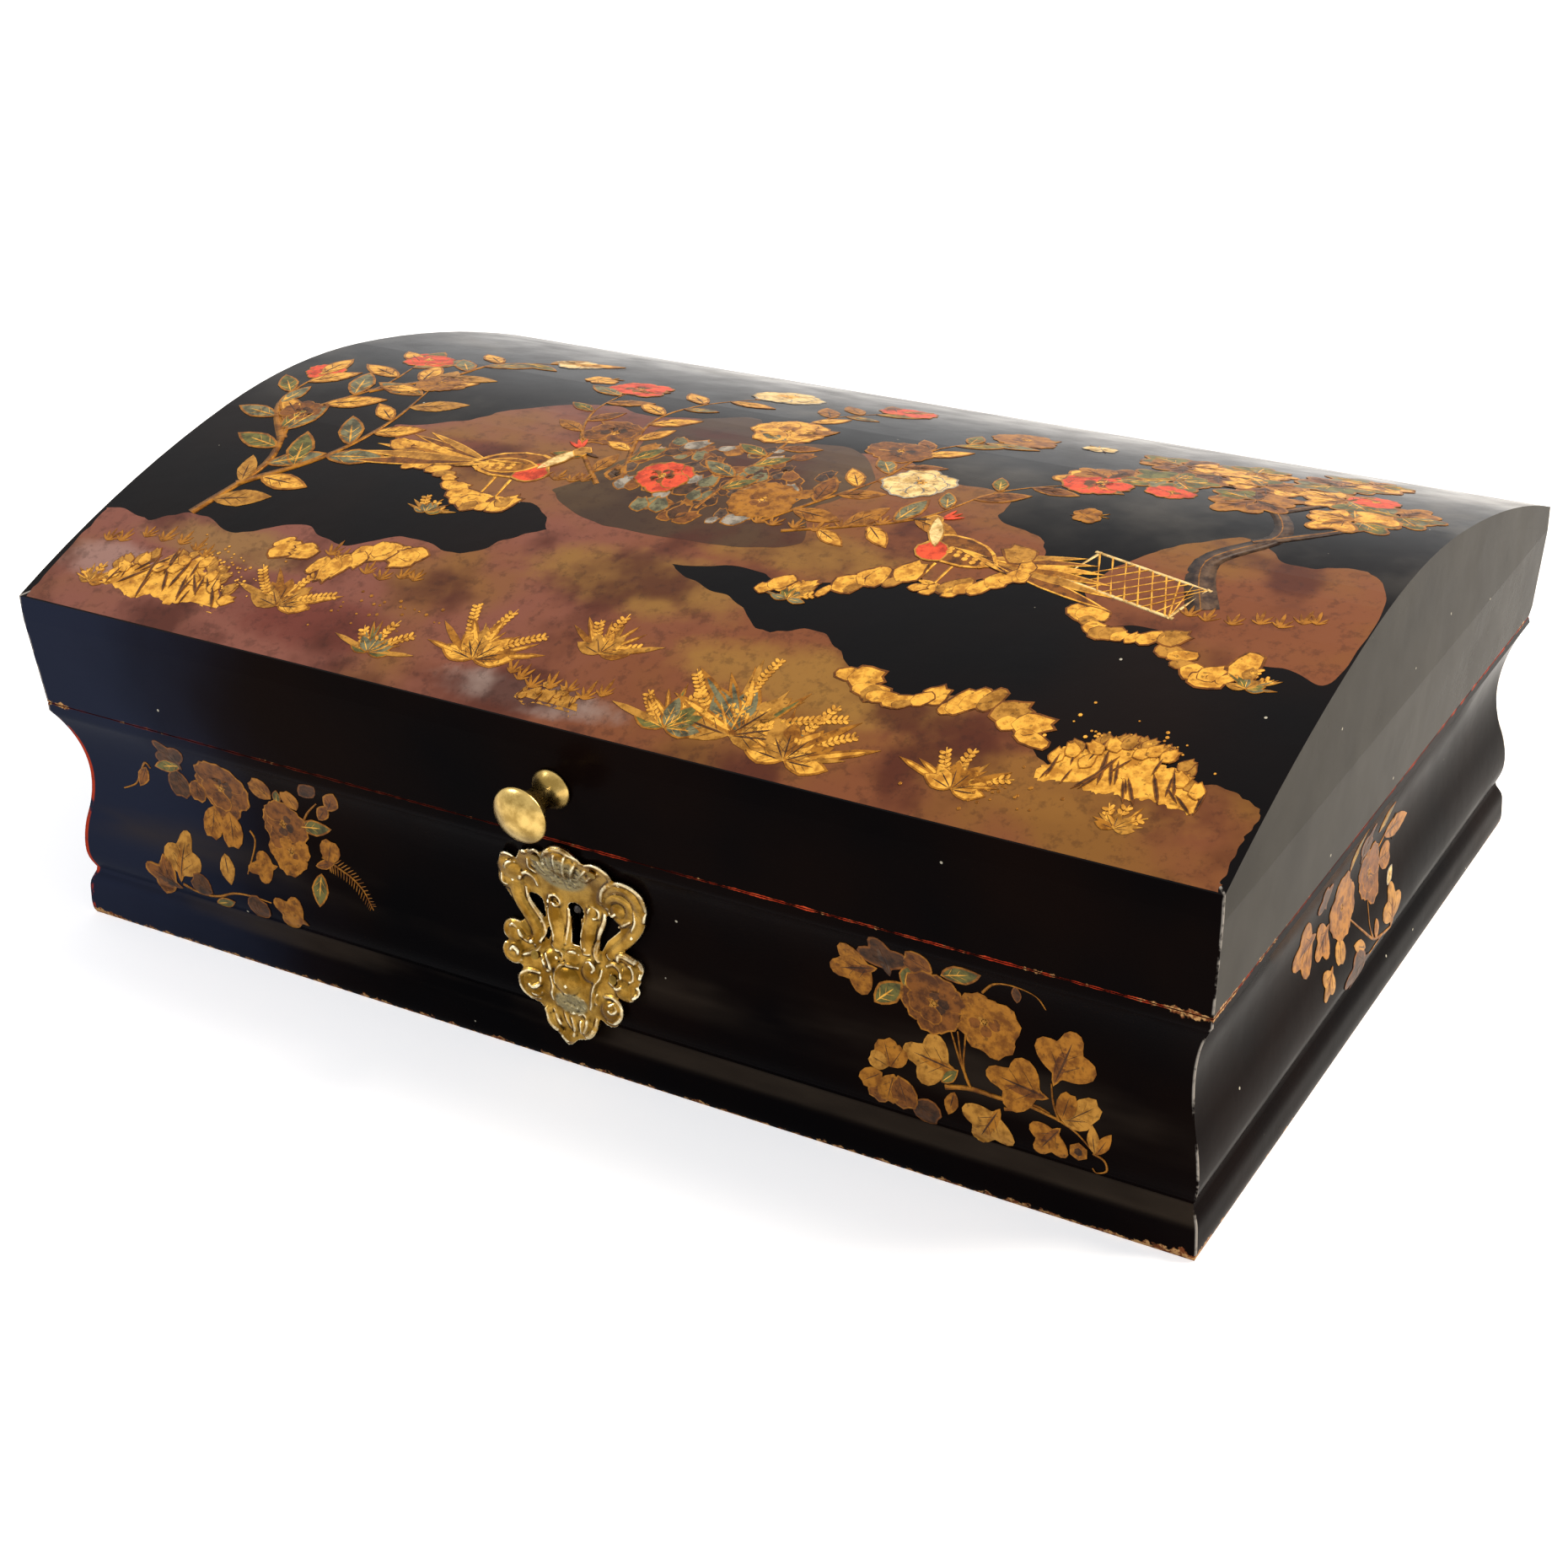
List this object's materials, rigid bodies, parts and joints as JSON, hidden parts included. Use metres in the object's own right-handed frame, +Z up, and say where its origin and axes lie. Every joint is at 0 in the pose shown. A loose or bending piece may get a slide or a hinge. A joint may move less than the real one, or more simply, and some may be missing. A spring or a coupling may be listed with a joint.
{
  "type": "wig box",
  "caption": "Low rectangular lacquered box with moulded sides and a hinged arched lid, closed by a box lock behind a cast keyhole plate and lifted by a turned knob.",
  "frame": {"origin": "centre of the flat underside", "axes": "+Z up, +X to the right seen from the front, -Y to the front where the lock is"},
  "size_m": [0.3332, 0.2459, 0.1228],
  "materials": {
    "japanned_wood": "black lacquer over wood, polished, worn at the edges",
    "bare_wood": "plain aged beech board",
    "gilt_brass": "cast and chased, gilt, matted ground",
    "cast_brass": "turned or cut brass, dulled",
    "wrought_iron": "filed wrought iron, darkened"
  },
  "bodies": {
    "base": {"base_front_wall": "japanned_wood", "base_back_wall": "japanned_wood", "base_left_wall": "japanned_wood", "base_right_wall": "japanned_wood", "bottom_board": "bare_wood", "bottom_nails": "wrought_iron", "escutcheon": "gilt_brass", "escutcheon_pins": "gilt_brass", "lock_plate": "wrought_iron", "lock_case": "wrought_iron", "lock_key_pin": "wrought_iron", "bolt_studs": "wrought_iron", "bolt_spring": "wrought_iron", "lock_nails": "wrought_iron", "left_hinge_base_leaf": "cast_brass", "left_hinge_pin": "wrought_iron", "right_hinge_base_leaf": "cast_brass", "right_hinge_pin": "wrought_iron", "hinge_nails_base": "wrought_iron"},
    "lid": {"lid_front_rail": "japanned_wood", "lid_back_rail": "japanned_wood", "lid_left_end": "japanned_wood", "lid_right_end": "japanned_wood", "lid_dome_panel": "japanned_wood", "lid_knob": "cast_brass", "knob_nut": "wrought_iron", "lid_hasp": "wrought_iron", "hasp_nails": "wrought_iron", "left_hinge_lid_leaf": "cast_brass", "right_hinge_lid_leaf": "cast_brass", "hinge_nails_lid": "wrought_iron"},
    "bolt": {"lock_bolt": "wrought_iron"}
  },
  "joints": [
    {"name": "lid_hinge", "type": "hinge", "parent": "base", "child": "lid", "pos_m": [0, 0.1115, 0.06515], "axis": [-1, 0, 0], "range_deg": [0, 100]},
    {"name": "lock_bolt_slide", "type": "slide", "parent": "base", "child": "bolt", "axis": [-1, 0, 0], "range_m": [0, 0.007]}
  ]
}
